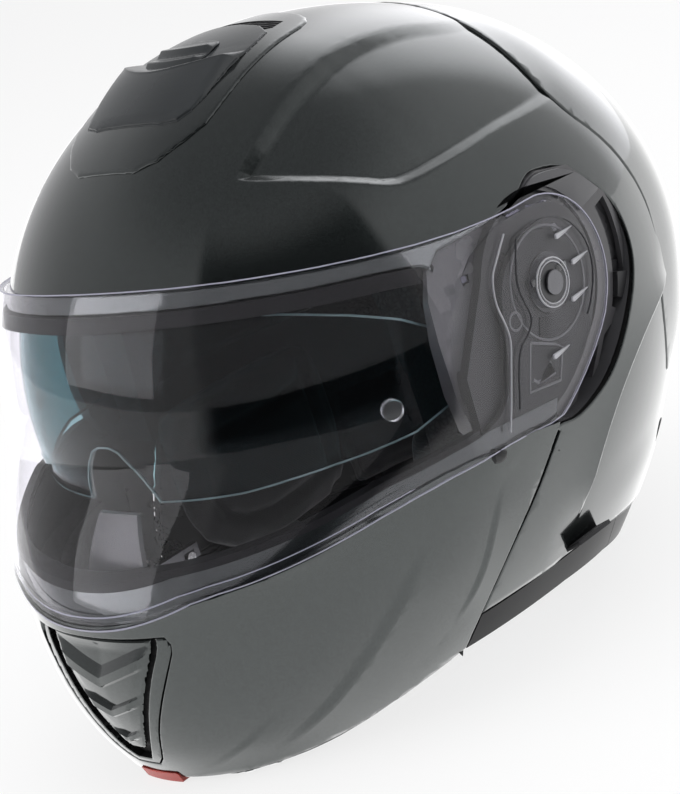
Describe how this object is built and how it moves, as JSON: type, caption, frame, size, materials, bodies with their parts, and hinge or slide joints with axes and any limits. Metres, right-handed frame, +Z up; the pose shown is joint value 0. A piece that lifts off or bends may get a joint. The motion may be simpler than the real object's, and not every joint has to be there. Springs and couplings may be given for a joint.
{
  "type": "modular motorcycle helmet",
  "caption": "Flip-up motorcycle helmet with hinged chin bar, clear visor, inner tinted visor, vents, padding and chin strap",
  "frame": {"origin": "middle of the length and the width at the level of the lower rim; the helmet rests on this level", "axes": "X to the wearer's left, Y to the rear of the helmet, Z up"},
  "size_m": [0.247, 0.3486, 0.2717],
  "materials": {
    "paint": "dark grey metallic lacquer, glossy",
    "black_plastic": "satin black plastic",
    "rubber": "black rubber",
    "foam": "black expanded foam",
    "fabric": "black lining fabric",
    "webbing": "black woven webbing",
    "clear": "clear polycarbonate",
    "tint": "smoke tinted polycarbonate",
    "steel": "bright steel",
    "grey_plastic": "satin grey plastic",
    "red": "red plastic"
  },
  "bodies": {
    "shell": {"outer_shell": "paint", "rear_cover": "paint", "rear_plugs": "black_plastic", "side_trim_left": "black_plastic", "side_trim_right": "black_plastic", "rear_trim": "black_plastic", "foam_liner": "foam", "crown_liner": "fabric", "cheek_pad_left": "fabric", "cheek_pad_right": "fabric", "neck_roll": "fabric", "pivot_base_left": "black_plastic", "pivot_base_right": "black_plastic", "base_screws": "steel", "pivot_screws": "grey_plastic", "side_cover_left": "black_plastic", "side_cover_right": "black_plastic", "brow_gasket": "rubber", "top_vent_base": "black_plastic", "top_vent_scoop": "grey_plastic", "striker_pins": "steel", "strap_anchors": "steel", "strap_left": "webbing", "strap_right": "webbing", "strap_ladder": "black_plastic", "buckle_body": "steel", "sun_visor_pins": "steel"},
    "chin_bar": {"chin_bar": "paint", "chin_foam": "foam", "chin_gasket": "rubber", "breath_deflector": "rubber", "chin_vent_frame": "black_plastic", "hook_pins": "steel", "visor_hubs": "grey_plastic"},
    "visor": {"visor": "clear", "lens_pins": "clear"},
    "sun_visor": {"sun_visor": "tint"},
    "sun_visor_slider": {"sun_visor_slider": "grey_plastic"},
    "top_vent_shutter": {"top_vent_shutter": "black_plastic"},
    "chin_vent_flap": {"chin_vent_flap": "black_plastic"},
    "release_button": {"release_button": "red"},
    "latch_hook_left": {"latch_hook_left": "steel"},
    "latch_hook_right": {"latch_hook_right": "steel"},
    "buckle_lever": {"buckle_lever": "red"}
  },
  "joints": [
    {"name": "chin_bar_hinge", "type": "hinge", "parent": "shell", "child": "chin_bar", "pos_m": [0, 0.004, 0.14603], "axis": [-1, 0, 0], "range_deg": [0, 78]},
    {"name": "visor_hinge", "type": "hinge", "parent": "chin_bar", "child": "visor", "pos_m": [0, 0.004, 0.14603], "axis": [-1, 0, 0], "range_deg": [0, 38]},
    {"name": "sun_visor_hinge", "type": "hinge", "parent": "shell", "child": "sun_visor", "pos_m": [0, -0.0069, 0.13007], "axis": [-1, 0, 0], "range_deg": [0, 38]},
    {"name": "sun_slider_hinge", "type": "hinge", "parent": "shell", "child": "sun_visor_slider", "pos_m": [0, 0.004, 0.14603], "axis": [1, 0, 0], "range_deg": [0, 32]},
    {"name": "top_vent_slide", "type": "slide", "parent": "shell", "child": "top_vent_shutter", "axis": [0, 0.9397, 0.342], "range_m": [0, 0.006]},
    {"name": "chin_vent_hinge", "type": "hinge", "parent": "chin_bar", "child": "chin_vent_flap", "pos_m": [0, -0.1615, 0.01809], "axis": [1, 0, 0], "range_deg": [0, 7]},
    {"name": "release_slide", "type": "slide", "parent": "chin_bar", "child": "release_button", "axis": [0, 0, 1], "range_m": [0, 0.0025], "stiffness_N_per_m": 800},
    {"name": "latch_hinge_left", "type": "hinge", "parent": "chin_bar", "child": "latch_hook_left", "pos_m": [0, -0.06624, 0.03776], "axis": [1, 0, 0], "range_deg": [0, 12.1]},
    {"name": "latch_hinge_right", "type": "hinge", "parent": "chin_bar", "child": "latch_hook_right", "pos_m": [0, -0.06624, 0.03776], "axis": [1, 0, 0], "range_deg": [0, 12.1]},
    {"name": "buckle_lever_hinge", "type": "hinge", "parent": "shell", "child": "buckle_lever", "pos_m": [0.0272, 0.0069, 0.01483], "axis": [0, 1, 0], "range_deg": [0, 25]}
  ],
  "couplings": [
    {"joint": "sun_slider_hinge", "follows": "sun_visor_hinge", "ratio": 0.842},
    {"joint": "latch_hinge_left", "follows": "release_slide", "rad_per_m": 83.776},
    {"joint": "latch_hinge_right", "follows": "release_slide", "rad_per_m": 83.776}
  ]
}
